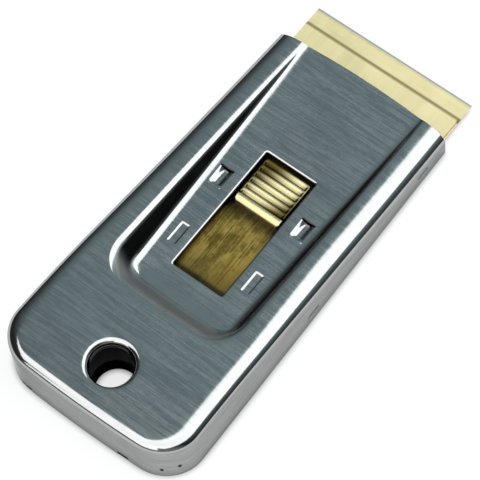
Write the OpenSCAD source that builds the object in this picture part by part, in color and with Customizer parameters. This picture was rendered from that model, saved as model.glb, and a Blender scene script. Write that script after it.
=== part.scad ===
// Pocket razor blade scraper: a pressed steel body with a brass slide that carries a single-edge blade.
// +Y points out of the mouth, +X lies across the blade, +Z points up from the base.
// Places along the body are depths behind the mouth, so a negative depth is in front of it.
// Sizes are in millimetres.

/* [Blade] */
// Width of the single-edge blade
blade_w = 38.1; // [36:0.1:60]
// Depth of the blade from its cutting edge to its back
blade_d = 19.05; // [17:0.05:20]
// Thickness of the blade
blade_t = 0.22; // [0.18:0.01:0.4]
// Length of the ground bevel on each face
bevel_l = 0.8; // [0.4:0.1:2]
// Depth of the folded spine on the back of the blade
spine_d = 4.8; // [3:0.1:6]
// Thickness of the folded spine
spine_t = 0.86; // [0.7:0.02:1.2]
// How much shorter the spine is than the blade, at each end
spine_inset = 0.4; // [0:0.1:2]
// How far the cutting edge stands out of the mouth
blade_out = 10.9; // [9.8:0.1:14]

/* [Body] */
// Length of the body from the mouth to the middle of the rear wall
body_l = 88.7; // [84:0.1:110]
// Height of the level grip at the rear
rear_h = 12.7; // [11:0.1:14]
// Length of the level grip, from the rear wall to the bend where the wedge starts
grip_l = 17; // [16.8:0.1:20]
// Thickness of the pressed cover
sheet_t = 0.7; // [0.5:0.05:0.7]
// How much each side moves out from the mouth to the rear
side_flare = 1.8; // [0:0.1:4]
// Radius of the rear corners, in plan
corner_r = 8; // [6:0.1:12]
// Width of the rounding along the rear of the grip
rim_run = 2.2; // [1.2:0.1:4]
// Width of the rounding along the sides of the grip
grip_run = 3.6; // [2:0.1:4]
// Width of the flanks beside the recess, at the mouth
flank_w = 4.25; // [4:0.05:6]
// Height of the rounding around the whole rim
rim_drop = 1.8; // [1:0.1:2.6]
// How far the middle of the mouth stands forward of its corners
mouth_bow = 1.1; // [0:0.1:2]
// How far the rear corners lie forward of the middle of the rear wall
rear_bow = 0.8; // [0:0.1:2]

/* [Recess] */
// Height of the sunk panel, which is also the height of the mouth
panel_h = 6; // [5.6:0.1:8]
// Length of the recess from the mouth to its upper rear edge
recess_l = 64.3; // [62:0.1:68]
// Radius of the rear corners of the recess
recess_r = 7.5; // [7:0.1:9]
// Run of the wall at no depth, taken up by its rounded edges
wall_ease = 3.2; // [2:0.05:3.4]
// Run of the wall for each millimetre of depth
wall_slope = 0.38; // [0.36:0.02:0.44]
// How sharply the wall falls in the middle of its run
wall_snap = 16; // [9:0.5:18]
// Share of a gentle step in that S curve, which widens both bends
wall_soft = 0.3; // [0:0.05:0.5]

/* [Window] */
// Width of the window in the panel
window_w = 12; // [11:0.1:13]
// Length of the window
window_l = 30; // [26:0.1:33]
// Depth of the front edge of the window
window_set = 22.9; // [22:0.1:25]

/* [Lanced tabs] */
// Width of the front pair
front_tab_w = 2.8; // [2:0.1:3]
// Length of the front pair
front_tab_l = 4.6; // [3:0.1:6]
// Distance from the middle of the body to the middle of a front tab
front_tab_x = 10.1; // [9.5:0.1:10.4]
// Depth of the front ends of the front pair
front_tab_set = 30.3; // [26:0.1:33]
// How far the front pair is pressed down
front_tab_drop = 1.1; // [0.8:0.1:1.1]
// Gap in front of the free end of a front tab
front_tab_gap = 0.45; // [0.2:0.05:0.8]
// Width of the rear pair
rear_tab_w = 2.1; // [1.6:0.1:3]
// Length of the rear pair
rear_tab_l = 5.1; // [3:0.1:6]
// Distance from the middle of the body to the middle of a rear tab
rear_tab_x = 9.1; // [8.8:0.1:10]
// Depth of the front ends of the rear pair
rear_tab_set = 44.6; // [40:0.1:48]
// How far the rear pair is pressed down
rear_tab_drop = 0.25; // [0.15:0.05:0.5]

/* [Hang hole] */
// Diameter of the hole
hole_d = 8.8; // [6:0.1:9.6]
// Distance from the rear wall to the middle of the hole
hole_set = 10.3; // [9.8:0.1:12]
// Radius of the edge rolled into the hole
hole_roll = 1.2; // [0.8:0.1:1.6]
// Straight wall below the rolled edge
hole_skirt = 1.1; // [0.6:0.1:2]
// Height of the collar drawn up around the hole in the base
collar_h = 3.5; // [1.5:0.1:6]

/* [Base] */
// Thickness of the base plate
base_t = 0.4; // [0.4:0.05:0.6]
// Height of the flanges along the sides of the base
flange_h = 3.7; // [3.6:0.1:3.8]
// Depths at which the flanges start and end
flange_span = [2.5, 61];
// Depths of the lugs that snap into the sides of the cover
lug_sets = [7.7, 44];
// Length of a lug
lug_l = 3.2; // [2:0.1:5]
// Height of a lug
lug_h = 0.8; // [0.5:0.1:1]
// Height of the middle of a lug above the base
lug_z = 3; // [2.8:0.1:3.1]
// Places across the rear wall of the ears that hold the base
ear_xs = [-14.2, 9.6];
// Width of an ear
ear_w = 1.9; // [1.2:0.1:3]
// Height of an ear's notch in the rear wall
notch_h = 1.2; // [0.8:0.1:2]
// How far lugs and ears stay below the outside of the cover
lug_sink = 0.35; // [0.1:0.05:0.5]

/* [Slide] */
// Thickness of the brass slide
plate_t = 0.5; // [0.4:0.05:0.6]
// How far the lip of the slide stands out of the mouth
lip_out = 6.5; // [4.5:0.1:7]
// How much narrower the lip is than the blade, at each end
lip_inset = 0.25; // [0.1:0.05:1]
// Depth at which the slide narrows behind the lip
neck_set = 14.2; // [14:0.1:17]
// Length of the ramp that joins the two levels of the slide
ramp_l = 4; // [3:0.1:5]
// Width of the shoulders that latch behind the tabs
shoulder_w = 24; // [23:0.1:28]
// Gap between the shoulders and the free ends of the tabs
latch_gap = 0.4; // [0.2:0.05:0.8]
// Width of the tail under the window
tail_w = 14.8; // [13.6:0.1:16]
// Depth of the top of the slide below the panel, pressed down clear of the tabs
strip_sink = 2; // [2:0.05:2.2]
// How far the slide reaches past the rear edge of the window
strip_past = 2; // [1:0.1:4]
// Thickness of the clip under the blade
clip_t = 0.35; // [0.3:0.05:0.4]
// Width of the clip under the blade
clip_w = 34; // [24:0.1:36]
// Distance from the middle of the body to each rivet
rivet_x = 9; // [6:0.1:11]
// Radius of a rivet's shank
rivet_r = 0.9; // [0.7:0.05:1.1]
// Radius of a rivet's heads
rivet_head_r = 1.6; // [1.4:0.1:1.7]
// Height of a rivet's heads
rivet_head_h = 0.35; // [0.2:0.05:0.35]

/* [Thumb pad] */
// Width of the pad
pad_w = 10.4; // [8:0.1:10.6]
// Length of the pad
pad_l = 10.8; // [9:0.1:12]
// Height of the pad above the slide, to the tops of its ribs
pad_h = 1.05; // [0.9:0.05:1.6]
// Gap between the pad and the front edge of the window
pad_lead = 0.4; // [0.3:0.1:2]
// Number of ribs across the pad
pad_ribs = 6; // [5:1:8]
// Length of the plain ramp at the rear of the pad
pad_ramp = 2.1; // [1:0.1:2.5]
// Width of the rails along the sides of the pad
pad_rail = 0.5; // [0.3:0.1:1]
// Radius of the corners of the pad
pad_r = 1.2; // [0.5:0.1:2]

/* [Clearances] */
// Gap between the cover and the base
base_gap = 0.1; // [0.05:0.01:0.15]
// Gap between the ends of the blade and the base
side_gap = 0.2; // [0.15:0.05:0.5]
// Gap between the clip and the base
floor_gap = 0.15; // [0.1:0.01:0.3]
// Gap between pieces that are pressed together
seat_gap = 0.02; // [0.01:0.01:0.05]
// Gap around lugs, ears and rivets in their holes
hole_gap = 0.1; // [0.05:0.01:0.2]

/* [Hidden] */
$fn = 64;

// Colours
steel = [0.62, 0.65, 0.67];
brass = [0.80, 0.70, 0.40];
blade_tone = [0.90, 0.86, 0.64];

// Overlap that lets one solid run into another, and the reach of a cut past a face
weld = 0.3;
past = 1;
// Step that keeps the faces of joined solids from lying in one plane
step = 0.01;

// Plan sizes
half_w = blade_w / 2 + side_gap + base_t + base_gap + sheet_t;
recess_half = half_w - flank_w;
flank_run = flank_w - weld / 2;
mouth_y = (body_l - blade_out) / 2;
grip_set = body_l - grip_l;
hole_depth = body_l - hole_set;
hole_r = hole_d / 2;
base_inset = sheet_t + base_gap;

// Levels, from the base up
clip_z = base_t + floor_gap;
spine_z = clip_z + clip_t + seat_gap;
blade_mid = spine_z + spine_t / 2;
lip_z = spine_z + spine_t + seat_gap;
strip_z = panel_h - strip_sink - plate_t;
strip_top = strip_z + plate_t;

// Places along the body
blade_back = blade_d - blade_out;
spine_front = blade_back - spine_d;
strip_end = window_set + window_l + strip_past;
pad_front = window_set + pad_lead;
ramp_set = pad_front - ramp_l;
shoulder_end = front_tab_set - latch_gap;
clip_rise = blade_back + 2 * plate_t;
clip_land = clip_rise + plate_t;
clip_end = neck_set - hole_gap;
rivet_set = (clip_land + clip_end) / 2;

function ease(t) = let (c = min(1, max(0, t))) c * c * (3 - 2 * c);
function blend(a, b, t) = a + (b - a) * t;

// The outline of the body

// How much wider the outline is at a depth than at the mouth
function flare(depth) = 1 + side_flare / half_w * depth / body_l;

// Bows the mouth forward and the rear corners forward, and turns a depth into a place along Y
front_fade = 20;
function bowed_y(x, depth) =
    let (across = pow(x / half_w, 2))
    let (front = mouth_bow * (1 - across) * pow(max(0, 1 - depth / front_fade), 2))
    let (rear = rear_bow * across * ease((depth - body_l / 2) / (body_l / 4)))
    mouth_y - depth + front + rear;

// A point on one half of a U, which is a side, a quarter arc and half of the rear edge.
// It comes back as [x, depth, normal x, normal depth].
function u_point(s, half, rear, r) =
    let (side = rear - r)
    let (arc = r * PI / 2)
    let (turn = (s - side) / r * 180 / PI)
    s <= side ? [half, s, 1, 0]
    : s <= side + arc ? [half - r + r * cos(turn), side + r * sin(turn), cos(turn), sin(turn)]
    : [half - r - (s - side - arc), rear, 0, 1];
function u_length(half, rear, r) = rear - r + r * PI / 2 + half - r;

// Stations run down the right side, across the rear and up the left side.
// The side stations of the outline and of the recess lie at the same depths.
// The others fan out around the rear.
side_n = 11;
turn_n = 24;
shared = min(body_l - corner_r, recess_l - recess_r) - weld;
function station_s(k, total) =
    k < side_n ? shared * k / side_n : blend(shared, total, (k - side_n) / turn_n);
function half_u(half, rear, r) =
    let (total = u_length(half, rear, r))
    [for (k = [0 : side_n + turn_n]) u_point(station_s(k, total), half, rear, r)];
function mirrored(u) = [for (k = [len(u) - 2 : -1 : 0]) [-u[k][0], u[k][1], -u[k][2], u[k][3]]];
function whole_u(half) = concat(half, mirrored(half));

outline = whole_u(half_u(half_w, body_l, corner_r));
recess = whole_u(half_u(recess_half, recess_l, recess_r));
last = len(outline) - 1;

// The outline drawn in by a distance, as plan points
function outline_at(p, inset) =
    let (x = p[0] - inset * p[2])
    let (depth = p[1] - inset * p[3])
    [x * flare(depth), bowed_y(x, depth)];
function outline_inset(inset) = [for (p = outline) outline_at(p, inset)];

// The cover

// Height of the top of the body: a level grip, then a straight wedge down to the mouth
function top_z(depth) = panel_h + (rear_h - panel_h) * min(1, max(0, depth) / grip_set);
function rim_at(p) =
    blend(blend(flank_run, grip_run, ease(2 * p[1] / recess_l - 1)), rim_run, p[3] * p[3]);

// Fall of the recess wall along an S curve, which eases away from the top and eases onto the panel
function s_curve(f) = 1 / (1 + exp(wall_snap * (0.5 - f)));
s_span = s_curve(1) - s_curve(0);
function wall_fall(f) = blend((s_curve(f) - s_curve(0)) / s_span, ease(f), wall_soft);
function wall_rate(f) =
    blend(wall_snap * s_curve(f) * (1 - s_curve(f)) / s_span, 6 * f * (1 - f), wall_soft);

// One point of the rim, at an angle from the wall to the top, on the outside or one sheet further in
function rim_point(p, angle, thick) =
    let (inward = thick + (rim_at(p) - thick) * (1 - cos(angle)))
    let (z = top_z(p[1]) - thick - (rim_drop - thick) * (1 - sin(angle)))
    concat(outline_at(p, inward), [z]);

// One point of the top between the rim and the recess, on the bend of the grip where it crosses it
function top_point(p, q, thick) =
    let (start = p[1] - rim_at(p) * p[3])
    let (meets = start > grip_set && q[1] < grip_set)
    let (t = meets ? (start - grip_set) / (start - q[1]) : 1 / 2)
    let (a = outline_at(p, rim_at(p)))
    let (b = [q[0], bowed_y(q[0], q[1])])
    concat(blend(a, b, t), [top_z(blend(start, q[1], t)) - thick]);

// One point of the recess wall, at a share of its run, on the outside or one sheet further in
function wall_point(q, f, thick) =
    let (fall = top_z(q[1]) - panel_h)
    let (run = wall_ease + wall_slope * fall)
    let (n = [fall * wall_rate(f), run])
    let (inward = run * f - thick * n[0] / norm(n))
    let (z = top_z(q[1]) - fall * wall_fall(f) - thick * n[1] / norm(n))
    let (x = q[0] - inward * q[2])
    let (depth = q[1] - inward * q[3])
    [x, bowed_y(x, depth), z];

// The section of the sheet at one station, from the foot of the wall to the edge of the panel
rim_steps = 6;
wall_steps = 8;
// Shares of the wall's run, closer together in the middle, where it is steep
function wall_share(k) = let (u = 2 * k / wall_steps - 1) 0.5 + 0.3 * u + 0.2 * pow(u, 3);
function section(i, thick) = concat(
    [concat(outline_at(outline[i], thick), [0])],
    [for (k = [0 : rim_steps]) rim_point(outline[i], 90 * k / rim_steps, thick)],
    [top_point(outline[i], recess[i], thick)],
    [for (k = [0 : wall_steps]) wall_point(recess[i], wall_share(k), thick)]
);
row = len(section(0, 0));

// Points along the front edge of the panel, from the left side to the right
front_steps = 8;
panel_half_front = recess_half - wall_ease;
function front_edge(thick) = [
    for (k = [1 : front_steps - 1])
        let (x = panel_half_front * (2 * k / front_steps - 1))
        [x, bowed_y(x, 0), panel_h - thick]
];

// The whole sheet as one closed skin: outside, inside, and the cut edges between them
module cover_skin() {
    points = concat(
        [for (i = [0 : last]) each section(i, 0)],
        [for (i = [0 : last]) each section(i, sheet_t)],
        front_edge(0),
        front_edge(sheet_t)
    );
    inner = row * (last + 1);
    front = 2 * inner;
    front_n = front_steps - 1;
    panel = [for (i = [0 : last]) i * row + row - 1];
    edge = concat([panel[last]], [for (k = [0 : front_n - 1]) front + k], [panel[0]]);
    edge_in = concat(
        [panel[last] + inner],
        [for (k = [0 : front_n - 1]) front + front_n + k],
        [panel[0] + inner]
    );
    outside = [for (i = [0 : last - 1], j = [0 : row - 2])
        let (a = i * row + j)
        each [[a, a + row, a + row + 1], [a, a + row + 1, a + 1]]];
    inside = [for (f = outside) [f[2] + inner, f[1] + inner, f[0] + inner]];
    foot = [for (i = [0 : last - 1])
        let (a = i * row)
        each [[a, a + inner, a + inner + row], [a, a + inner + row, a + row]]];
    right_cut = [for (j = [0 : row - 2])
        each [[j, j + 1, j + 1 + inner], [j, j + 1 + inner, j + inner]]];
    left_cut = [for (j = [0 : row - 2])
        let (a = last * row + j)
        each [[a, a + inner, a + inner + 1], [a, a + inner + 1, a + 1]]];
    panel_top = [concat(panel, [for (k = [0 : front_n - 1]) front + k])];
    panel_under = [[for (k = [front_n - 1 : -1 : 0]) front + front_n + k,
        for (i = [last : -1 : 0]) panel[i] + inner]];
    front_cut = [for (k = [0 : front_n])
        each [[edge[k], edge_in[k], edge_in[k + 1]], [edge[k], edge_in[k + 1], edge[k + 1]]]];
    ends = concat(foot, right_cut, left_cut, front_cut);
    polyhedron(points, concat(outside, inside, panel_top, panel_under, ends));
}

// A plate of given width, extruded across the body from a side profile of [depth, z] points
module across(width) {
    translate([-width / 2, mouth_y, 0])
        rotate([90, 0, 90])
            linear_extrude(width)
                mirror([1, 0])
                    children();
}

// A box given by its middle across, its span of depths and its span of heights
module block(x, width, depths, heights) {
    translate([x - width / 2, mouth_y - depths[1], heights[0]])
        cube([width, depths[1] - depths[0], heights[1] - heights[0]]);
}

// An opening through the panel, given by its middle across, its width, its front edge and its length
module through_panel(x, width, set, length) {
    block(x, width, [set, set + length], [panel_h - sheet_t - past, panel_h + past]);
}

// A pocket pressed down from its rear edge to its free front end, with a gap in front of that end
module tab_pocket(x, width, set, length, drop, gap) {
    root = set + length;
    tip = set + gap;
    front = gap > 0 ? tip : tip - weld;
    upper = panel_h - step;
    lower = panel_h - sheet_t + step;
    translate([x, 0, 0])
        difference() {
            across(width + 2 * weld)
                polygon([[root + weld, upper], [front, upper], [front, lower - drop], [root + weld, lower]]);
            across(width)
                polygon([
                    [root, panel_h + past], [root, panel_h], [tip, panel_h - drop],
                    [tip - past, panel_h - drop], [tip - past, panel_h + past]
                ]);
        }
}

// The ring around the hang hole: the top turns down through a quarter round into a straight skirt
module hole_ring() {
    land = hole_r + hole_roll;
    upper = rear_h - step;
    lower = rear_h - sheet_t + step;
    translate([0, mouth_y - hole_depth, 0])
        rotate_extrude() {
            translate([land - step, lower])
                square([2 * weld + step, upper - lower]);
            difference() {
                translate([land, upper - hole_roll])
                    circle(hole_roll);
                translate([land, upper - hole_roll])
                    circle(hole_roll - sheet_t + 2 * step);
                translate([land, upper - 2 * hole_roll - past])
                    square(2 * hole_roll + 2 * past);
                translate([0, upper - 2 * hole_roll - past])
                    square([land + past, hole_roll + past]);
            }
            translate([hole_r, upper - hole_roll - hole_skirt])
                square([sheet_t - 2 * step, hole_skirt + step]);
        }
}

module top_cover() {
    color(steel) {
        difference() {
            cover_skin();
            through_panel(0, window_w, window_set, window_l);
            for (side = [-1, 1]) {
                through_panel(side * front_tab_x, front_tab_w, front_tab_set, front_tab_l);
                through_panel(side * rear_tab_x, rear_tab_w, rear_tab_set, rear_tab_l);
                for (set = lug_sets)
                    lug(side, set, hole_gap, past);
            }
            translate([0, mouth_y - hole_depth, rear_h - sheet_t - past])
                cylinder(r = hole_r + hole_roll + weld, h = sheet_t + 2 * past);
            for (x = ear_xs)
                ear(x, hole_gap, past, notch_h);
        }
        hole_ring();
        for (side = [-1, 1]) {
            tab_pocket(side * front_tab_x, front_tab_w, front_tab_set, front_tab_l, front_tab_drop,
                front_tab_gap);
            tab_pocket(side * rear_tab_x, rear_tab_w, rear_tab_set, rear_tab_l, rear_tab_drop, 0);
        }
    }
}

// The base

// A lug on the side of the base, or its slit in the cover when it is given room around it
module lug(side, set, room, reach) {
    outer = half_w * flare(set) + reach;
    inner = half_w * flare(set) - base_inset - base_t / 2;
    block(side * (outer + inner) / 2, outer - inner, [set - lug_l / 2 - room, set + lug_l / 2 + room],
        [lug_z - lug_h / 2 - room, lug_z + lug_h / 2 + room]);
}

// Depth of the rear wall at a place across it
function rear_depth(x) = mouth_y - bowed_y(x / flare(body_l), body_l);

// An ear on the rear of the base, or its notch in the cover when it is given room around it
module ear(x, room, reach, height) {
    inner = rear_depth(x) - base_inset - 3 * base_t;
    block(x, ear_w + 2 * room, [inner, rear_depth(x) + reach], [min(0, -reach), height]);
}

module base_plate() {
    color(steel)
        difference() {
            union() {
                linear_extrude(base_t)
                    polygon(outline_inset(base_inset));
                intersection() {
                    linear_extrude(flange_h)
                        difference() {
                            polygon(outline_inset(base_inset));
                            polygon(outline_inset(base_inset + base_t));
                        }
                    block(0, 4 * half_w, flange_span, [0, flange_h]);
                }
                translate([0, mouth_y - hole_depth, 0])
                    cylinder(r = hole_r + base_t, h = collar_h);
                for (side = [-1, 1], set = lug_sets)
                    lug(side, set, 0, -lug_sink);
                for (x = ear_xs)
                    ear(x, 0, -lug_sink, base_t);
            }
            translate([0, mouth_y - hole_depth, -past])
                cylinder(r = hole_r, h = collar_h + 2 * past);
        }
}

// The slide

// Plan of the slide: a lip as wide as the blade, shoulders, and a tail under the window
module slide_plan() {
    lip_w = blade_w - 2 * lip_inset;
    taper = (lip_w - shoulder_w) / 4;
    corner = 2 * plate_t;
    points = [
        [lip_w / 2, -lip_out], [lip_w / 2, neck_set - taper],
        [shoulder_w / 2, neck_set], [shoulder_w / 2, shoulder_end],
        [tail_w / 2, shoulder_end], [tail_w / 2, strip_end - corner],
        [tail_w / 2 - corner, strip_end]
    ];
    right = [for (p = points) [p[0], mouth_y - p[1]]];
    left = [for (k = [len(points) - 1 : -1 : 0]) [-points[k][0], mouth_y - points[k][1]]];
    polygon(concat(right, left));
}

module slide_plate() {
    hem_z = blade_mid + blade_t / 2 + seat_gap;
    bend = plate_t * (strip_z - lip_z) / ramp_l;
    color(brass)
        difference() {
            intersection() {
                across(blade_w)
                    polygon([
                        [-lip_out, hem_z], [plate_t - lip_out, hem_z], [plate_t - lip_out, lip_z],
                        [ramp_set, lip_z],
                        [ramp_set + ramp_l, strip_z], [strip_end, strip_z], [strip_end, strip_top],
                        [ramp_set + ramp_l - bend, strip_top], [ramp_set - bend, lip_z + plate_t],
                        [-lip_out, lip_z + plate_t]
                    ]);
                linear_extrude(panel_h)
                    slide_plan();
            }
            rivet_holes();
        }
}

// Holes for the two rivets, through the slide and the clip
module rivet_holes() {
    for (side = [-1, 1])
        translate([side * rivet_x, mouth_y - rivet_set, 0])
            cylinder(r = rivet_r + hole_gap / 2, h = panel_h);
}

module clip_rivets() {
    lower = lip_z - clip_t - rivet_head_h;
    upper = lip_z + plate_t + rivet_head_h;
    color(brass)
        for (side = [-1, 1])
            translate([side * rivet_x, mouth_y - rivet_set, 0]) {
                translate([0, 0, lower])
                    cylinder(r = rivet_r, h = upper - lower);
                translate([0, 0, lower])
                    cylinder(r1 = rivet_head_r - rivet_head_h / 2, r2 = rivet_head_r, h = rivet_head_h);
                translate([0, 0, upper - rivet_head_h])
                    cylinder(r1 = rivet_head_r, r2 = rivet_head_r - rivet_head_h / 2, h = rivet_head_h);
            }
}

// The clip: a springy brass leaf that grips the blade's spine from below and rises to the slide behind it
module blade_clip() {
    under_blade = blade_mid - blade_t / 2 - seat_gap;
    clip_top = clip_z + clip_t;
    front = 2 * plate_t - lip_out;
    bead = [spine_front - hole_gap - 2 * clip_t, spine_front - hole_gap];
    color(brass)
        difference() {
            across(clip_w)
                polygon([
                    [front, clip_z], [clip_rise, clip_z], [clip_land, lip_z - clip_t],
                    [clip_end, lip_z - clip_t], [clip_end, lip_z], [clip_land - clip_t / 2, lip_z],
                    [clip_rise - clip_t / 2, clip_top], [bead[1], clip_top], [bead[1], under_blade],
                    [bead[0], under_blade], [bead[0], clip_top], [front + clip_t, clip_top],
                    [front + clip_t, under_blade], [front, under_blade]
                ]);
            rivet_holes();
        }
}

// Radius of a rib as a share of the distance between ribs
rib_share = 0.42;

// The thumb pad: ribs between two rails on a low block, with a plain ramp at the rear
module thumb_pad() {
    ribbed = pad_l - pad_ramp;
    pitch = ribbed / pad_ribs;
    rib_r = pitch * rib_share;
    web = pad_h - rib_r;
    color(brass)
        intersection() {
            union() {
                across(pad_w)
                    translate([pad_front, strip_top]) {
                        polygon([
                            [0, 0], [0, web], [ribbed, web], [ribbed + pad_ramp / 3, pad_h],
                            [pad_l, pad_h / 3], [pad_l, 0]
                        ]);
                        for (k = [0 : pad_ribs - 1])
                            translate([pitch * (k + 0.5), web])
                                circle(rib_r);
                    }
                for (side = [-1, 1])
                    block(side * (pad_w - pad_rail) / 2, pad_rail, [pad_front, pad_front + ribbed],
                        [strip_top, strip_top + web + rib_r / 2]);
            }
            translate([0, mouth_y - pad_front - pad_l / 2, strip_top])
                linear_extrude(2 * pad_h)
                    rounded(pad_w, pad_l, pad_r);
        }
}

// A rectangle with round corners, centred
module rounded(width, length, r) {
    square([width - 2 * r, length], center = true);
    square([width, length - 2 * r], center = true);
    for (x = [-1, 1], y = [-1, 1])
        translate([x * (width / 2 - r), y * (length / 2 - r)])
            circle(r);
}

// The blade

module razor_blade() {
    half = blade_t / 2;
    color(blade_tone)
        across(blade_w)
            polygon([
                [-blade_out, blade_mid], [bevel_l - blade_out, blade_mid + half],
                [blade_back, blade_mid + half], [blade_back, blade_mid - half],
                [bevel_l - blade_out, blade_mid - half]
            ]);
}

// The spine: a strip folded around the back of the blade
module blade_spine() {
    slot = blade_t + 2 * seat_gap;
    color(steel)
        across(blade_w - 2 * spine_inset)
            difference() {
                union() {
                    translate([spine_front, spine_z])
                        square([spine_d, spine_t]);
                    translate([blade_back, blade_mid])
                        circle(spine_t / 2);
                }
                translate([spine_front - past, blade_mid - slot / 2])
                    square([spine_d + past + seat_gap, slot]);
            }
}

top_cover();
base_plate();
slide_plate();
thumb_pad();
blade_clip();
clip_rivets();
razor_blade();
blade_spine();
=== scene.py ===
# %% [markdown]
# # A pocket razor blade scraper
# The real tool is a pressed steel body about nine centimetres long with a brass slide inside it.
# The slide holds a single-edge blade by its spine, and a ribbed thumb pad in a window pushes it
# out of the mouth or draws it back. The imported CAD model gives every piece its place. This lesson
# dresses it: the cover and the pad are drawn again as finer surfaces, two small end caps are added
# at the rear, and every piece gets its own finish.

# %% Load the frame
import math

import bpy
import numpy as np
from mathutils import Matrix, Vector
from mathutils.geometry import delaunay_2d_cdt


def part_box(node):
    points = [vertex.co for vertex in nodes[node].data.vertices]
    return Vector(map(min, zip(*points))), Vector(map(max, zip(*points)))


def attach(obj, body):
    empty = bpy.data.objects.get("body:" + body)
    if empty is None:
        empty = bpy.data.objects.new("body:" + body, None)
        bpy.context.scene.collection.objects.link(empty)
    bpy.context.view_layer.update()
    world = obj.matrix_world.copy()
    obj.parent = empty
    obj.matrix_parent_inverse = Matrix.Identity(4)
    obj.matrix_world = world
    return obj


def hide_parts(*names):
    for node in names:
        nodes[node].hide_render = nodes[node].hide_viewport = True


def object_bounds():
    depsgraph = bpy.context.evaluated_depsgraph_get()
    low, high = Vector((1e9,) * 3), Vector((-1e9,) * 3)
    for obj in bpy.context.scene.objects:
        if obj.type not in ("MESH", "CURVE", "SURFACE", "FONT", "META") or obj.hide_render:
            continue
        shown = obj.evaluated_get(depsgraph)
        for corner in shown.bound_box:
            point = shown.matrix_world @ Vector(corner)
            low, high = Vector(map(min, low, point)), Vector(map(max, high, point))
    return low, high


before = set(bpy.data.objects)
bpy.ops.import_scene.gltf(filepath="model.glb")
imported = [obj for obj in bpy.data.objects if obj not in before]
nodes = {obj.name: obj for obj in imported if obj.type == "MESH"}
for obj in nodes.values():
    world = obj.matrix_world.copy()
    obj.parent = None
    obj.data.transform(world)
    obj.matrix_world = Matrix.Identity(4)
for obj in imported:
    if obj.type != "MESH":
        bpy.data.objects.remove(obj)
cad_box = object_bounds()
scene = bpy.context.scene
scene.view_settings.view_transform = "Standard"
MM = 0.001
print("CAD box in mm:", [round((b - a) / MM, 1) for a, b in zip(*cad_box)])

# %% [markdown]
# ## The camera
# The picture looks steeply down on the tool with a long lens, from the rear right corner, and is
# turned a little about its own axis. A camera could be aimed with a constraint, but a matrix made
# from an azimuth, an elevation and a roll says the same with nothing left live in the file.

# %% Camera
AIM = Vector((0.9, -1.8, 4.25)) * MM
DISTANCE = 596.4 * MM
AZIMUTH, ELEVATION, ROLL = 44.74, 64.17, 7.65
LENS = 230.1


def camera_matrix(aim, distance, azimuth, elevation, roll):
    """The camera sits on a sphere round the aim point, looks inward and rolls about its own axis."""
    place = Matrix.Rotation(math.radians(azimuth), 4, "Z")
    tilt = Matrix.Rotation(math.radians(90 - elevation), 4, "X")
    turn = Matrix.Rotation(math.radians(-roll), 4, "Z")
    return Matrix.Translation(aim) @ place @ tilt @ turn @ Matrix.Translation((0, 0, distance))


camera = bpy.data.objects.new("camera", bpy.data.cameras.new("camera"))
camera.data.lens = LENS
camera.data.clip_end = 10
camera.matrix_world = camera_matrix(AIM, DISTANCE, AZIMUTH, ELEVATION, ROLL)
scene.collection.objects.link(camera)
scene.camera = camera
print("camera at", [round(v / MM) for v in camera.matrix_world.translation], "mm")

# %% [markdown]
# ## Wires
# A finish is a small network of shader nodes. Wrapping one socket in a class lets the network be
# written as arithmetic: `1 - mask` adds a Math node and hands back its output.

# %% Shader wires
class Wire:
    """One shader socket. Arithmetic on wires adds Math nodes."""

    def __init__(self, tree, socket=None):
        self.tree = tree
        self.socket = socket

    def node(self, kind, settings=None, inputs=None, output=0):
        """Adds a node: first its settings, then a number, a colour or a wire for each socket."""
        made = self.tree.nodes.new(kind)
        for key, value in (settings or {}).items():
            if key == "stops":
                for spot, colour in value[1:-1]:
                    made.color_ramp.elements.new(spot)
                for stop, (spot, colour) in zip(made.color_ramp.elements, value):
                    stop.position = spot
                    stop.color = (*colour, 1)
            else:
                setattr(made, key, value)
        for key, value in (inputs or {}).items():
            if isinstance(value, Wire):
                self.tree.links.new(value.socket, made.inputs[key])
            else:
                made.inputs[key].default_value = value
        return Wire(self.tree, made.outputs[output] if len(made.outputs) else None)

    def math(self, operation, first, second):
        return self.node("ShaderNodeMath", {"operation": operation}, {0: first, 1: second})

    def __add__(self, other):
        return self.math("ADD", self, other)

    def __sub__(self, other):
        return self.math("SUBTRACT", self, other)

    def __rsub__(self, other):
        return self.math("SUBTRACT", other, self)

    def __mul__(self, other):
        return self.math("MULTIPLY", self, other)

    def __abs__(self):
        return self.math("ABSOLUTE", self, 0)

    __radd__ = __add__
    __rmul__ = __mul__

    def step(self, low, high):
        """0 below low, 1 above high, and a smooth step between them."""
        return self.node("ShaderNodeMapRange", {"interpolation_type": "SMOOTHSTEP"},
                         {"Value": self, "From Min": low, "From Max": high})

    def near(self, centre, reach, soft):
        """1 within a reach of the centre, falling to 0 over a soft edge."""
        return 1 - abs(self - centre).step(reach, reach + soft)


def blank_material(name):
    """A material with an empty node tree, and the wire that its nodes hang on."""
    material = bpy.data.materials.new(name)
    material.use_nodes = True
    material.node_tree.nodes.clear()
    return material, Wire(material.node_tree)


def mix_colour(mask, first, second):
    """The first colour where the mask is 0 and the second where it is 1."""
    return mask.node("ShaderNodeMix", {"data_type": "RGBA"},
                     {0: mask, 6: colour4(first), 7: colour4(second)}, output=2)


def colour4(colour):
    return colour if isinstance(colour, Wire) else (*colour, 1)


print("wires ready")

# %% [markdown]
# ## Floor and light
# Polished and brushed metal is mostly a picture of what stands around it. Two level lamps hang
# over this tool, a large one to its right and a small one to its rear left, and a lit card stands
# upright behind it. The level top mirrors the far side of the room, which is dim, while the rolled
# edges turn towards the lamps and go white. Near the horizon the room is dark, which gives the thin
# black lines under the rims, except behind the grip, where it is lighter, so that the top isn't
# black when it is seen from the front.
#
# The floor could be lit until it is white, but then the metal would be too bright as well. So it
# glows by itself, for the camera and for reflections only, and still takes the shadow. An Ambient
# Occlusion node takes the glow away within two millimetres of the foot of the walls.

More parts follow.
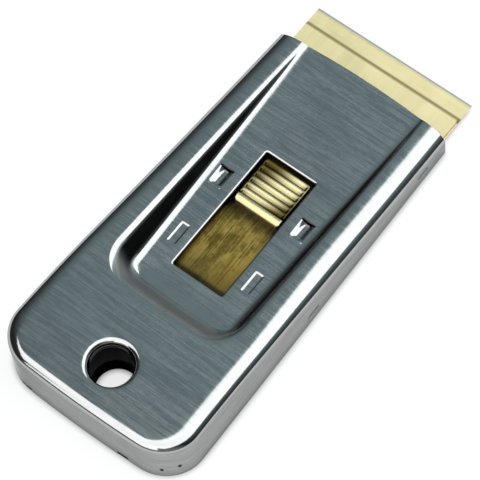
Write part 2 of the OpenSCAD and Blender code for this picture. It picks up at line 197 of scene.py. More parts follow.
# %% Floor
FLOOR_SIZE = 4.0
FLOOR_ALBEDO = 0.25
FLOOR_GLOW = 0.76
FLOOR_GAP = 0.02 * MM
CONTACT = 2 * MM
CONTACT_SHADE = (0.05, 0.05, 0.05)


def quad_mesh(name, points, faces):
    """A mesh object from an array of points and an array of faces, linked to the scene."""
    mesh = bpy.data.meshes.new(name)
    mesh.from_pydata(points.tolist(), [], faces.tolist())
    mesh.validate()
    piece = bpy.data.objects.new(name, mesh)
    scene.collection.objects.link(piece)
    return piece


corner = np.array([[-1, -1, 0], [1, -1, 0], [1, 1, 0], [-1, 1, 0]]) * FLOOR_SIZE / 2
floor = quad_mesh("floor", corner + [0, 0, cad_box[0].z - FLOOR_GAP], np.array([[0, 1, 2, 3]]))
floor_finish, wire = blank_material("white_floor")
camera_rays = wire.node("ShaderNodeLightPath", output="Is Camera Ray")
mirrored_rays = wire.node("ShaderNodeLightPath", output="Is Glossy Ray")
clear_rays = wire.node("ShaderNodeLightPath", output="Is Transmission Ray")
seen = (camera_rays + mirrored_rays + clear_rays).step(0, 1)
paper = wire.node("ShaderNodeBsdfDiffuse", None, {"Color": (FLOOR_ALBEDO,) * 3 + (1,)})
open_air = wire.node("ShaderNodeAmbientOcclusion", None, {"Distance": CONTACT}, output="AO")
shade = mix_colour(open_air.step(0.2, 0.9), CONTACT_SHADE, (1, 1, 1))
glow = wire.node("ShaderNodeEmission", None, {"Color": shade, "Strength": seen * FLOOR_GLOW})
both = wire.node("ShaderNodeAddShader", None, {0: paper, 1: glow})
wire.node("ShaderNodeOutputMaterial", None, {"Surface": both})
floor.data.materials.append(floor_finish)
print("floor at z", round(floor.data.vertices[0].co.z / MM, 3), "mm")

# %% World and lamps
DARK = (0.035, 0.035, 0.037)
DIM = (0.10, 0.12, 0.125)
BRIGHT = (0.262, 0.352, 0.38)
BRIGHT_WAY = (0.0, 0.71, 0.71)
REAR = (0.27, 0.285, 0.29)
REAR_WAY = (0.4, -0.92, 0.0)
LAMP_HEIGHT = 2.0
RADIANCE = 2.0
CARD_W, CARD_H, CARD_PLACE = 2.0, 1.3, (0, -2.1, 1.35)

world = bpy.data.worlds.new("studio")
world.use_nodes = True
world.node_tree.nodes.clear()
wire = Wire(world.node_tree)
way = wire.node("ShaderNodeTexCoord", output="Generated")
ahead, rearward = (wire.node("ShaderNodeVectorMath", {"operation": "DOT_PRODUCT"}, {0: way, 1: aim},
                             output="Value") for aim in (BRIGHT_WAY, REAR_WAY))
sky = wire.node("ShaderNodeValToRGB", {"stops": [(0.35, DARK), (0.62, DIM), (0.86, BRIGHT)]},
                {"Fac": ahead})
sky = mix_colour(rearward.step(0.5, 0.85), sky, REAR)
wire.node("ShaderNodeOutputWorld", None,
          {"Surface": wire.node("ShaderNodeBackground", None, {"Color": sky})})
scene.world = world


def soft_lamp(name, wide, tall, matrix):
    """A rectangular lamp that shines along its own -Z with the same brightness all over."""
    lamp = bpy.data.objects.new(name, bpy.data.lights.new(name, "AREA"))
    lamp.data.shape = "RECTANGLE"
    lamp.data.size, lamp.data.size_y = wide, tall
    lamp.data.energy = RADIANCE * math.pi * wide * tall
    lamp.matrix_world = matrix
    scene.collection.objects.link(lamp)
    print(name, round(wide, 2), "x", round(tall, 2), "m,", round(lamp.data.energy, 1), "W")


def level_lamp(name, x_span, y_span):
    """A lamp overhead that fills spans of slopes, x over z and y over z, as seen from the tool."""
    (x0, x1), (y0, y1) = (np.array(span) * LAMP_HEIGHT for span in (x_span, y_span))
    soft_lamp(name, x1 - x0, y1 - y0, Matrix.Translation(((x0 + x1) / 2, (y0 + y1) / 2, LAMP_HEIGHT)))


level_lamp("right_lamp", (-0.16, 0.85), (-1.05, 1.5))
level_lamp("rear_lamp", (-0.75, -0.16), (-1.05, 0.0))
upright = Matrix.Rotation(math.radians(90), 4, "X")
soft_lamp("rear_card", CARD_W, CARD_H, Matrix.Translation(CARD_PLACE) @ upright)

# %% [markdown]
# ## Metal
# Every piece of this tool is metal. The steel was brushed across the body before it was drawn, and
# the brass along its length. Brush marks are noise stretched along one axis: they shift the tone a
# little, change the roughness, and tilt the surface through a Bump node. Where the sheet was drawn
# over a bend the marks are rubbed away, and the press leaves its own marks along the walls. Shade is
# painted in as dark colour where it falls: in hollows, round the pad and on the walls outside.

# %% Metal helpers
ACROSS = (150.0, 3200.0, 3200.0)
ALONG = (3500.0, 60.0, 3500.0)
DRAWN = (160.0, 160.0, 2200.0)
# Near black: painted shade in hollows, round the pad and on the ends of the ears, and two dark spots.
PAINTED_DARK = (0.012, 0.011, 0.010)
# Tone for the outside walls: darker all round, and deepest at the rear left, where it is painted shade.
WALL_DARK = (0.12, 0.125, 0.125)


def place(wire, axis):
    """A coordinate of the object in millimetres: X, Y or Z."""
    spot = wire.node("ShaderNodeTexCoord", output="Object")
    return wire.node("ShaderNodeSeparateXYZ", None, {0: spot}, output=axis) * (1 / MM)


def facing_up(wire):
    """How far the surface faces up: 1 when level, 0 when upright."""
    facing = wire.node("ShaderNodeTexCoord", output="Normal")
    return wire.node("ShaderNodeSeparateXYZ", None, {0: facing}, output="Z")


def noise(wire, scale, detail=2.0, rough=0.6):
    """Noise in object space, with its own number of marks per metre along each axis."""
    spot = wire.node("ShaderNodeTexCoord", output="Object")
    spot = wire.node("ShaderNodeVectorMath", {"operation": "MULTIPLY"}, {0: spot, 1: scale})
    return wire.node("ShaderNodeTexNoise", None,
                     {"Vector": spot, "Scale": 1.0, "Detail": detail, "Roughness": rough})


def brush_marks(wire, brush):
    """Fine and broad streaks together, around one half."""
    return noise(wire, brush) * 0.6 + noise(wire, tuple(v / 4 for v in brush)) * 0.4


def between(mask, first, second):
    """A number that runs from the first to the second as the mask runs from 0 to 1."""
    return first + (second - first) * mask


def metal(wire, colour, rough, relief, bump, graze=1.0):
    """The shader itself: a metal with a colour, a roughness and a relief in tenths of a millimetre.

    A thin greasy film dulls what metal mirrors at a grazing angle, and graze is the share left."""
    normal = wire.node("ShaderNodeBump", None,
                       {"Strength": bump, "Distance": 0.1 * MM, "Height": relief})
    surface = wire.node("ShaderNodeBsdfPrincipled", None, {
        "Base Color": colour, "Metallic": 1.0, "Roughness": rough, "Normal": normal,
        "Specular Tint": (graze, graze, graze, 1)})
    wire.node("ShaderNodeOutputMaterial", None, {"Surface": surface})


def brushed_metal(name, dark, pale, rough, brush, bump):
    """A plain brushed metal: its tone runs from dark to pale and its roughness over a span."""
    material, wire = blank_material(name)
    marks = brush_marks(wire, brush)
    tone = (marks * 0.7 + noise(wire, (90, 90, 90), 3.0) * 0.3).step(0.35, 0.65)
    metal(wire, mix_colour(tone, dark, pale), between(tone, *rough), marks, bump)
    return material


print("metal helpers ready")

# %% [markdown]
# ## The cover: sizes
# The body is one sheet of steel, drawn in a press. Its rear is a level grip with a hang hole, and
# from there the top slopes to the mouth, while a level panel with the window sinks into the slope.
# The CAD solid has the same shape with few facets. A mirror-bright sheet shows every facet, so the
# cover is drawn again on a fine grid. The main sizes are those of the CAD. The small bends, which
# decide what the metal mirrors, differ from it a little: the rim, the mouth, and the rear wall of
# the recess. Depth runs from the mouth to the rear.

# %% Sizes of the cover
low, high = (np.array(c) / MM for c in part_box("top_cover"))
BODY_L = 88.7
HALF_W = 20.45
REAR_H = high[2]
PANEL_H = 6.0
GRIP_SET = BODY_L - 17
GRIP_BEND = 8.0
MOUTH_Y = low[1] + BODY_L
SIDE_FLARE, MOUTH_BOW, MOUTH_FADE, REAR_BOW = 1.78, 1.1, 20.0, 0.8
MOUTH_RISE, RISE_L = 0.45, 30.0
CORNER_R, REAR_RUN, GRIP_RUN, GRIP_DROP = 8.0, 2.2, 3.3, 1.9
FLANK_W, FLANK_DROP = 4.25, 2.3
FLANK_RUN = FLANK_W - 0.15
RECESS_HALF, RECESS_L, RECESS_R = HALF_W - FLANK_W, 64.3, 7.5
WALL_EASE, WALL_SLOPE, WALL_SNAP, WALL_SOFT = 3.2, 0.38, 16.0, 0.3
SHEET_T = 0.7


def ease(t):
    """A smooth step from 0 to 1."""
    t = np.clip(t, 0, 1)
    return t * t * (3 - 2 * t)


def blend(a, b, t):
    return a + (b - a) * t


def top_z(depth):
    """Straight slope from the panel to the grip, then level, with a parabola round the bend.

    Towards the mouth the slope flattens a little, so that the recess stays open there."""
    slope = (REAR_H - PANEL_H) / GRIP_SET
    short = np.clip(GRIP_SET + GRIP_BEND - depth, 0, 2 * GRIP_BEND)
    beyond = np.maximum(0, GRIP_SET - GRIP_BEND - depth)
    rise = MOUTH_RISE * np.maximum(0, 1 - depth / RISE_L) ** 2
    return REAR_H - slope * (short ** 2 / (4 * GRIP_BEND) + beyond) + rise


def plan(x, depth, flared):
    """A place on the sheet in plan: the sides flare to the rear, and both end edges are bowed."""
    wide = 1 + SIDE_FLARE / HALF_W * depth / BODY_L if flared else 1
    across = (x / HALF_W) ** 2
    front = MOUTH_BOW * (1 - across) * np.maximum(0, 1 - depth / MOUTH_FADE) ** 2
    rear = REAR_BOW * across * ease((depth - BODY_L / 2) / (BODY_L / 4))
    return x * wide, MOUTH_Y - depth + front + rear


print("cover", np.round(high - low, 1), "mm, mouth at y", round(MOUTH_Y, 2))

# %% [markdown]
# ## The cover: stations
# The sheet can be thought of as one section carried along a U, down one side, round the rear and
# up the other side. The outside of the body and the edge of the recess are two such U lines. Each
# station joins a place on one to a place on the other. Stations also fall on the ends of the
# slits in the side walls and of the notches at the rear, so that those can be left open.

# %% Stations along the U
SLIT_SETS, SLIT_HALF, SLIT_Z = (7.7, 44.0), 1.7, (2.5, 3.5)
NOTCH_XS, NOTCH_HALF, NOTCH_H = (-14.2, 9.6), 1.25, 1.5
SIDE_N, TURN_N = 40, 72
SHARED = min(BODY_L - CORNER_R, RECESS_L - RECESS_R) - 0.3


def u_line(s, half, rear, r):
    """A straight side, a quarter arc and half of the rear edge, at a path length s.

    Comes back as x, depth and the outward normal, as arrays."""
    side = rear - r
    turn = np.clip((s - side) / r, 0, math.pi / 2)
    past = np.maximum(0, s - side - r * math.pi / 2)
    return np.stack([half - r + r * np.cos(turn) - past, np.minimum(s, side) + r * np.sin(turn),
                     np.cos(turn), np.sin(turn)], axis=-1)


def u_length(half, rear, r):
    return rear - r + r * math.pi / 2 + half - r


def both_sides(right):
    """The right half of a U followed by its mirror image."""
    return np.concatenate([right, (right * [-1, 1, -1, 1])[-2::-1]])


def rear_path(x):
    """Path length along the outside at which the rear edge or corner has a place x across."""
    inner = HALF_W - CORNER_R
    x0 = np.abs(x) / (1 + SIDE_FLARE / HALF_W)
    turn = np.arccos(np.clip((x0 - inner) / CORNER_R, 0, 1))
    return BODY_L - CORNER_R + CORNER_R * turn + np.maximum(0, inner - x0)


outer_end = u_length(HALF_W, BODY_L, CORNER_R)
recess_end = u_length(RECESS_HALF, RECESS_L, RECESS_R)
slit_ends = np.add.outer(SLIT_SETS, [-SLIT_HALF, SLIT_HALF]).ravel()
notch_ends = rear_path(np.add.outer(NOTCH_XS, [-NOTCH_HALF, NOTCH_HALF]).ravel())
side_s = np.unique(np.concatenate([np.linspace(0, SHARED, SIDE_N), slit_ends]).round(6))
turn_t = np.unique(np.concatenate([np.linspace(0, 1, TURN_N)[1:],
                                   (notch_ends - SHARED) / (outer_end - SHARED)]).round(8))
outline = both_sides(u_line(np.concatenate([side_s, blend(SHARED, outer_end, turn_t)]),
                            HALF_W, BODY_L, CORNER_R))
recess = both_sides(u_line(np.concatenate([side_s, blend(SHARED, recess_end, turn_t)]),
                           RECESS_HALF, RECESS_L, RECESS_R))
print(len(outline), "stations")

# %% [markdown]
# ## The cover: walls, rim and slope
# Going up one section: a straight wall, a quarter of an ellipse for the rim, a flat stretch on the
# slope, and the wall of the recess, which eases away from the top and eases onto the panel. All
# stations are worked out at once, as arrays of stations by rows.

# %% Walls and rim
RIM_STEPS = 16


def outline_at(inset):
    """The outside U drawn in by an inset along its normal, in plan, and its depth."""
    x = outline[:, None, 0] - inset * outline[:, None, 2]
    depth = outline[:, None, 1] - inset * outline[:, None, 3]
    return (*plan(x, depth, True), depth)


behind = ease(2 * outline[:, 1:2] / RECESS_L - 1)
rim = blend(blend(FLANK_RUN, GRIP_RUN, behind), REAR_RUN, outline[:, 3:4] ** 2)
rim_drop = blend(FLANK_DROP, GRIP_DROP, behind)
angle = np.linspace(0, math.pi / 2, RIM_STEPS + 1)[None, :]
crest = top_z(outline[:, 1:2])
rim_x, rim_y, _ = outline_at(rim * (1 - np.cos(angle)))
rim_grid = np.stack([rim_x, rim_y, crest - rim_drop * (1 - np.sin(angle))], axis=-1)
levels = np.array([0, NOTCH_H, *SLIT_Z])
wall_grid = np.repeat(rim_grid[:, :1], len(levels), axis=1)
wall_grid[:, :, 2] = levels
side_grid = np.concatenate([wall_grid, rim_grid], axis=1)
print("side walls and rim", side_grid.shape)

# %% Slope beside the recess
SLOPE_STEPS = 12
GRIP_FROM = 0.39


def slope_rows(first, last, t):
    """Straight lines in plan between two rows of [x, y, depth], raised to the top of the body."""
    row = blend(first[:, None], last[:, None], t[None, :, None])
    return np.concatenate([row[..., :2], top_z(row[..., 2:])], axis=-1)


rim_end = np.concatenate(outline_at(rim), axis=-1)
recess_xy = plan(recess[:, 0], recess[:, 1], False)
recess_edge = np.stack([*recess_xy, recess[:, 1]], axis=-1)
turn_from = len(side_s) + np.searchsorted(turn_t, GRIP_FROM)
slope_grid = slope_rows(rim_end, recess_edge, np.linspace(0, 1, SLOPE_STEPS + 1))
right_slope, left_slope = slope_grid[:turn_from + 1], slope_grid[-turn_from - 1:]
print("slopes", right_slope.shape, left_slope.shape)

# %% Wall of the recess
WALL_STEPS = 40
REAR_RAMP = 0.75


def s_curve(f):
    """A logistic curve round the middle of the run."""
    return 1 / (1 + np.exp(WALL_SNAP * (0.5 - f)))


def wall_fall(f):
    """Share of the fall at a share f of the run: the S curve from 0 to 1, mixed with a smooth step."""
    return blend((s_curve(f) - s_curve(0)) / (s_curve(1) - s_curve(0)), ease(f), WALL_SOFT)


share = np.linspace(0, 1, WALL_STEPS + 1)[None, :]
fall = top_z(recess[:, 1:2]) - PANEL_H
inward = (WALL_EASE + WALL_SLOPE * fall) * share
wall_xy = plan(recess[:, :1] - inward * recess[:, 2:3], recess[:, 1:2] - inward * recess[:, 3:4], False)
rear_wall = recess[:, 3:4] ** 2
fallen = blend(wall_fall(share), blend(share, ease(share), 0.5), REAR_RAMP * rear_wall)
recess_grid = np.stack([*wall_xy, PANEL_H + fall * (1 - fallen)], axis=-1)
print("recess wall", recess_grid.shape, "deepest", round(float(fall.max()), 2), "mm")

# %% [markdown]
# ## The cover: grip and hang hole
# The grip fills the space between the rear rim, the recess and the hole. Lines drawn from a closed
# loop round that space to a circle round the hole make a grid of it, because every point of the
# loop can be seen from the middle of the hole. From the circle the sheet rolls down into a skirt.

# %% Grip and hole
HOLE_R, HOLE_ROLL, HOLE_SKIRT = 4.4, 1.2, 1.1
HOLE_DEPTH = BODY_L - 10.3
GRIP_STEPS, ROLL_STEPS = 14, 10

last = len(outline) - 1
t = np.linspace(0, 1, SLOPE_STEPS + 1)[1:-1, None]
grip_loop = np.concatenate([
    rim_end[turn_from:last - turn_from + 1],
    blend(rim_end[last - turn_from], recess_edge[last - turn_from], t),
    recess_edge[turn_from:last - turn_from + 1][::-1],
    blend(recess_edge[turn_from], rim_end[turn_from], t),
])
grip_loop = np.concatenate([grip_loop, grip_loop[:1]])
heading = np.arctan2(grip_loop[:, 1] - (MOUTH_Y - HOLE_DEPTH), grip_loop[:, 0])


def ring(radius):
    """Points at a radius round the hole, one for each point of the grip's loop, with their depths."""
    x, y = radius * np.cos(heading), radius * np.sin(heading)
    return np.stack([x, MOUTH_Y - HOLE_DEPTH + y, HOLE_DEPTH - y], axis=-1)


land = ring(HOLE_R + HOLE_ROLL)
grip_grid = slope_rows(grip_loop, land, np.linspace(0, 1, GRIP_STEPS + 1))
roll = np.linspace(0, math.pi / 2, ROLL_STEPS + 1)
reach = np.append(HOLE_R + HOLE_ROLL * (1 - np.sin(roll)), HOLE_R)
drop = np.append(HOLE_ROLL * (1 - np.cos(roll)), HOLE_ROLL + HOLE_SKIRT)
hole_grid = np.stack([ring(r) for r in reach], axis=1)
hole_grid[..., 2] = top_z(land[:, None, 2]) - drop
print("grip", grip_grid.shape, "hole", hole_grid.shape)

# %% [markdown]
# ## The cover: panel, window and tabs
# The panel is flat, so its triangles can be any shape, and a constrained triangulation fills the
# space between its edge and its five openings. The edge of the window rolls down a little, and
# catches the light as a thin white line. Four small tabs are pressed down out of the panel. The
# front pair is also cut free at its front end, and the slide's shoulders catch on it there. Each
# tab is a grid of its own, and its edge is the edge of its opening.

# %% Panel and tabs
WINDOW_W, WINDOW_SET, WINDOW_L, WINDOW_R = 12.0, 22.9, 30.0, 0.35
EDGE_RUN, EDGE_FALL = 0.45, 0.28
FRONT_TAB = {"x": 10.0, "width": 3.2, "depth": 30.2, "length": 4.9,
             "fall": 1.1, "gap": 0.45, "bank": 1.3}
REAR_TAB = {"x": 9.1, "width": 2.1, "depth": 44.6, "length": 5.1,
            "fall": 0.13, "gap": 0.0, "bank": 0.42}
TAB_LIP, TAB_LIP_L = 0.05, 0.5
TAB_ROWS, TAB_COLUMNS = 41, 29
LEVEL = 0.06
CORNER_STEPS, MOUTH_STEPS = 7, 24
INSIDE = 1


def window_loop(grow, fall):
    """The window's outline with round corners, grown by a distance and sunk below the panel."""
    corners = np.array([[1, 1], [-1, 1], [-1, -1], [1, -1]])
    middle = np.array([0, MOUTH_Y - WINDOW_SET - WINDOW_L / 2])
    turn = np.add.outer(np.arange(4), np.linspace(0, 1, CORNER_STEPS)).ravel() * math.pi / 2
    arc = np.stack([np.cos(turn), np.sin(turn)], axis=-1) * (WINDOW_R + grow)
    inner = corners * [WINDOW_W / 2 - WINDOW_R, WINDOW_L / 2 - WINDOW_R]
    spots = middle + np.repeat(inner, CORNER_STEPS, axis=0) + arc
    loop = np.column_stack([spots, np.full(len(turn), PANEL_H - fall)])
    return np.concatenate([loop, loop[:1]])[::-1]


def tab_grid(x, width, depth, length, fall, gap, bank):
    """A trough with sloping banks that falls from a low lip at its rear to the cut at its front end.

    Without a gap at the front it is a shallow dent with a bank on all four sides. The outermost
    strips of the grid are level, so that the panel's shading stays flat."""
    run = np.linspace(0, length - gap, TAB_ROWS)
    run = np.concatenate([[-LEVEL], run, [] if gap else [length + LEVEL]])[:, None]
    out = np.linspace(-width / 2, width / 2, TAB_COLUMNS)
    out = np.concatenate([[-LEVEL - width / 2], out, [width / 2 + LEVEL]])[None]
    side = width / 2 - np.abs(out)
    if gap:
        along = 0.4 * ease(run / bank) + 0.6 * (np.maximum(run, 0) / length) ** 5
        lip = TAB_LIP * np.sin(math.pi * np.clip(run / TAB_LIP_L, 0, 1)) ** 2
    else:
        along = ease(run / bank) * ease((length - run) / bank)
        lip = 0 * run
    y = MOUTH_Y - depth - length + run
    z = PANEL_H - fall * along * ease(side / bank) + lip * ease(side / 0.3)
    return np.stack([x + out + 0 * y, y + 0 * out, z], axis=-1)


def tab_edge(grid, tab):
    """The outline of a tab's opening: its front edge, then up one side, across the rear and back."""
    front = grid[-1, :-1, :2]
    if tab["gap"]:
        front = grid[-1, [0, -1], :2] + [0, tab["gap"]]
    return np.concatenate([front, grid[::-1, -1, :2], grid[0, -2::-1, :2], grid[1:, 0, :2]])


def within(spots, loop):
    """Whether each spot lies inside a closed loop: a line to the right then crosses it an odd
    number of times."""
    ends = np.roll(loop, -1, axis=0)
    rise = ends[:, 1] - loop[:, 1]
    lean = np.divide(ends[:, 0] - loop[:, 0], rise, out=np.zeros(len(loop)), where=rise != 0)
    up = spots[:, None, 1] - loop[:, 1]
    crossed = ((up > 0) != (up > rise)) & (loop[:, 0] + lean * up > spots[:, None, 0])
    return crossed.sum(axis=1) % 2 == 1


mouth_x = np.linspace(recess_grid[-1, -1, 0], recess_grid[0, -1, 0], MOUTH_STEPS)[1:-1]
mouth_edge = np.stack(plan(mouth_x, 0 * mouth_x, False), axis=-1)
edge_turn = np.linspace(0, math.pi / 2, CORNER_STEPS)
window_grid = np.stack([window_loop(EDGE_RUN * (1 - math.sin(a)), EDGE_FALL * (1 - math.cos(a)))
                        for a in edge_turn], axis=1)
kinds = [{**tab, "x": side * tab["x"]} for side in (-1, 1) for tab in (FRONT_TAB, REAR_TAB)]
tabs = [tab_grid(**tab) for tab in kinds]
holes = [window_grid[:-1, 0, :2]] + [tab_edge(grid, tab) for grid, tab in zip(tabs, kinds)]
loops = [np.concatenate([recess_grid[:, -1, :2], mouth_edge])] + holes
starts = np.cumsum([0] + [len(loop) for loop in loops])
steps = [np.arange(len(loop)) for loop in loops]
edges = np.concatenate([start + np.column_stack([step, np.roll(step, -1)])
                        for start, step in zip(starts, steps)])
spots, _, panel_faces, *_ = delaunay_2d_cdt(
    np.concatenate(loops).tolist(), edges.tolist(), [], INSIDE, 1e-6)
spots, panel_faces = np.array(spots), np.array(panel_faces)
middle = spots[panel_faces].mean(axis=1)
panel_faces = panel_faces[~np.any([within(middle, loop) for loop in holes], axis=0)]
panel_points = np.column_stack([spots, np.full(len(spots), PANEL_H)])
print(len(panel_faces), "triangles in the panel,", len(tabs), "tabs")

# %% [markdown]
# ## The cover: one sheet
# The grids are put into one mesh and their shared edges welded. The faces of the slits and notches
# are left out first. Solidify then gives the sheet its thickness towards the inside, which also
# makes all the cut edges, and the result becomes the mesh, so that sharp edges can be marked on it.
# The cut edges are sheared metal, dull and light, so they get a material of their own. The rest is
# brushed on its level faces, bright on its bends, and painted near black as shade on the steep walls
# of the recess and in the hole. The walls outside are darker all round, with painted shade deepest at
# the rear left corner, and two small dark spots sit at the rear.

# %% Finish of the cover
DARK_SPOT_XS, DARK_SPOT_ZS, DARK_SPOT_R, DARK_SPOT_SOFT, DARK_SPOT_TALL = (18.1, 20.7), (3.1, 4.1), 0.28, 0.2, 0.6
RECESS_WALL_X, RECESS_WALL_REACH, RECESS_WALL_END = 13.4, 3.0, (57, 61)
RAMP_DEPTH, RAMP_REACH = 60.5, 4.0
DARK_STEEL, PALE_STEEL = (0.35, 0.36, 0.36), (0.46, 0.465, 0.46)

dark_spot_line = u_line(rear_path(np.array(DARK_SPOT_XS)), HALF_W, BODY_L, CORNER_R)
dark_spots = np.stack([*plan(dark_spot_line[:, 0], dark_spot_line[:, 1], True), DARK_SPOT_ZS], axis=-1)


def far_from(wire, spot, keep=(1, 1, 1)):
    """Distance in millimetres from a spot, of which a share along each axis is kept."""
    here = wire.node("ShaderNodeTexCoord", output="Object")
    here = wire.node("ShaderNodeVectorMath", {"operation": "MULTIPLY"}, {0: here, 1: keep})
    return wire.node("ShaderNodeVectorMath", {"operation": "DISTANCE"},
                     {0: here, 1: tuple(np.multiply(spot, keep) * MM)}, output="Value") * (1 / MM)


def hole_throat(wire):
    """1 near the axis of the hang hole, up to the sheet's own thickness beyond its edge."""
    away = far_from(wire, (0, MOUTH_Y - HOLE_DEPTH, 0), (1, 1, 0))
    return 1 - away.step(HOLE_R + 0.3, HOLE_R + 0.7)


def cover_steel():
    """Steel brushed across, bright on its bends, painted shade on recess walls and in the hole, two
    dark spots.
    """
    material, wire = blank_material("cover_steel")
    marks = brush_marks(wire, ACROSS)
    level = facing_up(wire).step(0.975, 0.998)
    tone = (marks * 0.65 + noise(wire, (90, 90, 90), 3.0) * 0.15
            + noise(wire, (900, 1300, 1300), 3.0, 0.7) * 0.2).step(0.39, 0.61)
    drawn = noise(wire, DRAWN, 4.0, 0.7).step(0.3, 0.7)
    depth = MOUTH_Y - place(wire, "Y")
    across = abs(place(wire, "X"))
    wall = ((1 - facing_up(wire).step(0.55, 0.88)) * (1 - depth.step(*RECESS_WALL_END))
            * across.near(RECESS_WALL_X, RECESS_WALL_REACH, 0.4))
    ramp = ((1 - facing_up(wire).step(0.75, 0.95)) * depth.near(RAMP_DEPTH, RAMP_REACH, 1.5)
            * (1 - across.step(14, 17)))
    # Painted shade: near black on the steep walls of the recess and down in the throat of the hang
    # hole.
    painted_dark_mask = wall * 0.97 + hole_throat(wire) * (1 - place(wire, "Z").step(11.2, 11.9))
    # Two small dark spots low on the walls at the rear.
    for dark_spot in dark_spots:
        painted_dark_mask = painted_dark_mask + 1 - far_from(wire, dark_spot, (1, 1, DARK_SPOT_TALL)).step(DARK_SPOT_R, DARK_SPOT_R + DARK_SPOT_SOFT)
    steel = mix_colour(between(level, between(drawn, 0.6, 1.1), tone), DARK_STEEL, PALE_STEEL)
    # The outside walls are darker all round; at the rear left corner the darkening is painted shade.
    rear_left_shade = (1 - place(wire, "X").step(-21, -6)) * depth.step(70, 84)
    wall_darkening = (1 - facing_up(wire).step(0.2, 0.5)) * between(rear_left_shade, 0.2, 0.65) * between(drawn, 1.5, 0.5)
    steel = mix_colour(wall_darkening, steel, WALL_DARK)
    rough = between(wall, between(ramp, between(level, 0.11, between(tone, 0.15, 0.2)), 0.5), 0.45)
    metal(wire, mix_colour(painted_dark_mask, steel, PAINTED_DARK), rough, marks * level, 0.06, 0.6)
    return material


print("cover finish ready")

# %% Weld and thicken
MERGE = 0.002 * MM


def grid_faces(rows, columns, flip=False):
    """The quads of a grid of points. They face the side from which columns, then rows, turn left."""
    at = np.arange(rows * columns).reshape(rows, columns)
    quads = np.stack([at[:-1, :-1], at[:-1, 1:], at[1:, 1:], at[1:, :-1]], axis=-1)
    return (quads[..., ::-1] if flip else quads).reshape(-1, 4)


def sheet_mesh(name, parts):
    """Joins patches of points and faces, and merges points that lie within a few micrometres."""
    points, faces, count = [], [], 0
    for spots, quads in parts:
        points.append(spots.reshape(-1, 3) * MM)
        faces.extend((quads + count).tolist())
        count += len(points[-1])
    mesh = bpy.data.meshes.new(name)
    mesh.from_pydata(np.concatenate(points).tolist(), [], faces)
    piece = bpy.data.objects.new(name, mesh)
    scene.collection.objects.link(piece)
    weld = piece.modifiers.new("weld", "WELD")
    weld.merge_threshold = MERGE
    return piece


def settle(piece, sharp):
    """Makes a piece's modifiers its mesh, and shades it smooth up to an angle in degrees."""
    graph = bpy.context.evaluated_depsgraph_get()
    mesh = bpy.data.meshes.new_from_object(piece.evaluated_get(graph))
    piece.modifiers.clear()
    piece.data = mesh
    mesh.polygons.foreach_set("use_smooth", [True] * len(mesh.polygons))
    mesh.set_sharp_from_angle(angle=math.radians(sharp))
    return piece


def thicken(piece, thickness):
    """Gives a sheet its thickness towards the inside. Its cut edges take the next material."""
    thick = piece.modifiers.new("thick", "SOLIDIFY")
    thick.thickness = thickness * MM
    thick.offset = -1
    thick.material_offset_rim = 1


rows, columns = side_grid.shape[:2]
side_quads = grid_faces(rows, columns)
quad_middle = side_grid.reshape(-1, 3)[side_quads].mean(axis=1)
quad_depth = MOUTH_Y - quad_middle[:, 1]
in_slit = (quad_middle[:, 2] > SLIT_Z[0]) & (quad_middle[:, 2] < SLIT_Z[1]) & (
    np.abs(np.subtract.outer(quad_depth, SLIT_SETS)) < SLIT_HALF).any(axis=-1)
in_notch = (quad_middle[:, 2] < NOTCH_H) & (quad_depth > SHARED) & (
    np.abs(np.subtract.outer(quad_middle[:, 0], NOTCH_XS)) < NOTCH_HALF).any(axis=-1)
parts = [(side_grid, side_quads[~(in_slit | in_notch)])]
for patch in (right_slope, left_slope, recess_grid, grip_grid, hole_grid, window_grid, *tabs):
    parts.append((patch, grid_faces(*patch.shape[:2])))
parts.append((panel_points, panel_faces))
cover = sheet_mesh("cover_sheet", parts)
cover.data.materials.append(cover_steel())
cover.data.materials.append(brushed_metal("sheared_edge", (0.5, 0.5, 0.49), (0.62, 0.61, 0.6),
                                          (0.4, 0.5), ALONG, 0.1))
thicken(cover, SHEET_T)
settle(cover, sharp=32)
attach(cover, "housing")
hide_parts("top_cover")
print(len(cover.data.polygons), "faces in the cover")

# %% [markdown]
# ## The thumb pad
# The pad is pressed from brass and riveted or welded to the slide. It has six rounded ribs across
# it, smooth rails along both sides, and a plain bar at the rear. A height over a rectangle is
# enough to describe it: a rounded block with grooves cut into it between the rails. It is a little
# wider and higher than the plain pad of the CAD, and fills the window as the real one does. Two
# corners and the sides are darker, partly tarnish and partly a painted reflection of the dark room,
# which leaves a pale diagonal band like a highlight. The grooves carry painted shade.

# %% Pad
low, high = (np.array(c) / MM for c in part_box("thumb_pad"))
GROWN_LOW, GROWN_HIGH = (-0.5, -0.75, 0.0), (0.5, -0.15, 0.45)
low, high = low + GROWN_LOW, high + GROWN_HIGH
PAD_W, PAD_L, PAD_H = high - low
RIBS, RAMP_L, RAIL_W = 6, 2.3, 0.5
PAD_R, PAD_EDGE = 0.9, 0.45
PAD_ROWS, PAD_COLUMNS = 121, 181
GROOVE, CREST, CROWN = 0.3, 0.3, 0.08


def rib_wave(p):
    """A wave from 0 to 1 and back over a step of 1, skewed so that its front side is steep."""
    p = p % 1
    turn = np.where(p < CREST, p / CREST, 1 + (p - CREST) / (1 - CREST)) / 2
    return 0.5 - 0.5 * np.cos(2 * math.pi * turn)


